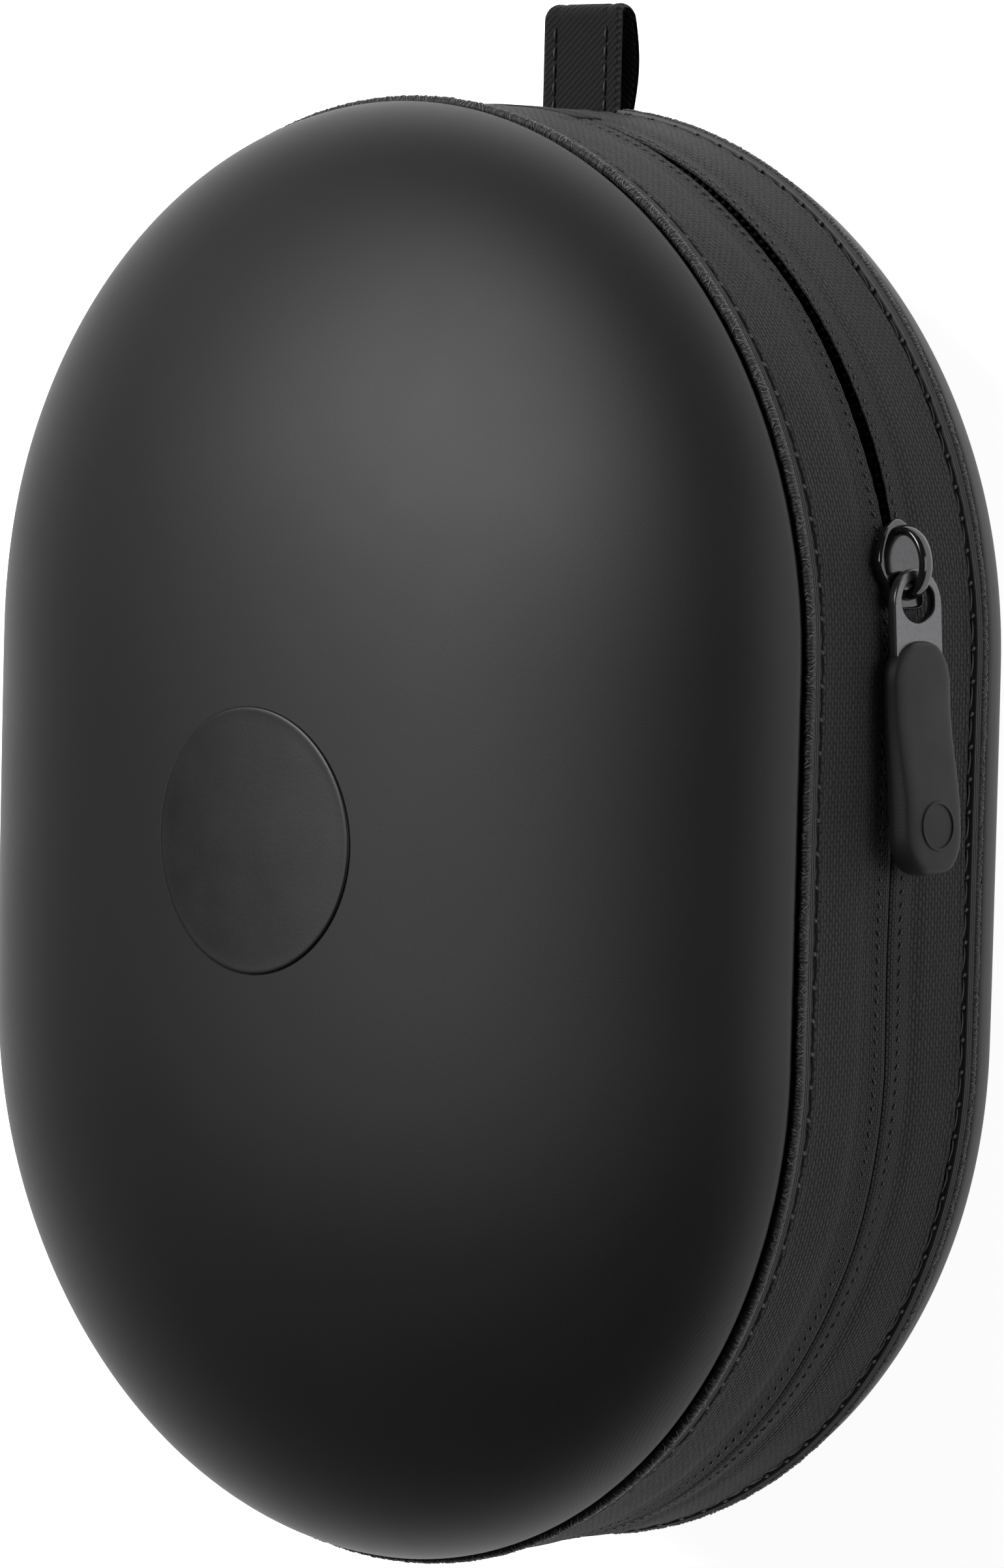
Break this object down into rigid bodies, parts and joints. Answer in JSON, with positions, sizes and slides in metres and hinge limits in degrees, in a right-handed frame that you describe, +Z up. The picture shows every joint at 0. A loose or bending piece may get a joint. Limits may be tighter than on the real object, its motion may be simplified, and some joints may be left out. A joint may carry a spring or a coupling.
{
  "type": "headphone carrying case",
  "caption": "Zip-around hard carrying case with rounded ends, domed base and lid, woven side band, hang loop and rubber zip pull.",
  "frame": {"origin": "middle of the back shell's flat resting patch, under the middle of the case's outline", "axes": "+Z up from the back shell to the lid's crown, +Y along the case to the fabric hinge and hang loop, +X to the side where the zip pull rests"},
  "size_m": [0.1591, 0.2172, 0.0918],
  "materials": {
    "shell_knit": "fine jersey knit bonded to the moulded shell, satin",
    "foam": "closed-cell moulded foam",
    "lining": "short brushed lining",
    "band_canvas": "coarse basket-woven canvas",
    "stiffener": "thin extruded strip",
    "piping": "overlocked cord edge with a flat stitched strip",
    "binding": "grosgrain tape",
    "zip_coil": "nylon coil",
    "zip_stop": "moulded nylon",
    "hinge_fabric": "plain woven",
    "webbing": "coarse twill webbing",
    "badge": "plain pressed disc, semi-gloss",
    "net": "knitted net",
    "elastic": "ribbed elastic",
    "slider_metal": "gloss black plated",
    "eye_metal": "satin gunmetal",
    "grip_rubber": "matte silicone"
  },
  "bodies": {
    "base": {"base_shell_skin": "shell_knit", "base_shell_foam": "foam", "base_lining": "lining", "base_band": "band_canvas", "base_band_stiffener": "stiffener", "base_band_lining": "lining", "base_piping": "piping", "base_seam_binding": "binding", "base_zip_coil": "zip_coil", "base_zip_stops": "zip_stop", "base_hinge_panel": "hinge_fabric", "hang_loop": "webbing"},
    "lid": {"lid_shell_skin": "shell_knit", "lid_shell_foam": "foam", "lid_lining": "lining", "lid_band": "band_canvas", "lid_band_stiffener": "stiffener", "lid_band_lining": "lining", "lid_piping": "piping", "lid_seam_binding": "binding", "lid_zip_coil": "zip_coil", "lid_zip_stops": "zip_stop", "lid_hinge_panel": "hinge_fabric", "front_badge": "badge", "mesh_pocket": "net", "mesh_pocket_elastic": "elastic", "mesh_pocket_binding": "binding"},
    "slider": {"slider_body": "slider_metal", "slider_bail": "slider_metal"},
    "puller": {"puller_eye_plate": "eye_metal", "puller_grip": "grip_rubber"}
  },
  "joints": [
    {"name": "lid_hinge", "type": "hinge", "parent": "base", "child": "lid", "pos_m": [0, 0.1012, 0.04555], "axis": [-1, 0, 0], "range_deg": [0, 110]},
    {"name": "slider_travel", "type": "hinge", "parent": "base", "child": "slider", "pos_m": [0, 0.026, 0.04555], "axis": [0, 0, 1], "range_deg": [0, 48]},
    {"name": "puller_swing", "type": "hinge", "parent": "slider", "child": "puller", "pos_m": [0.0774, 0.03882, 0.04555], "axis": [0, 0, 1], "range_deg": [0, 110]}
  ]
}
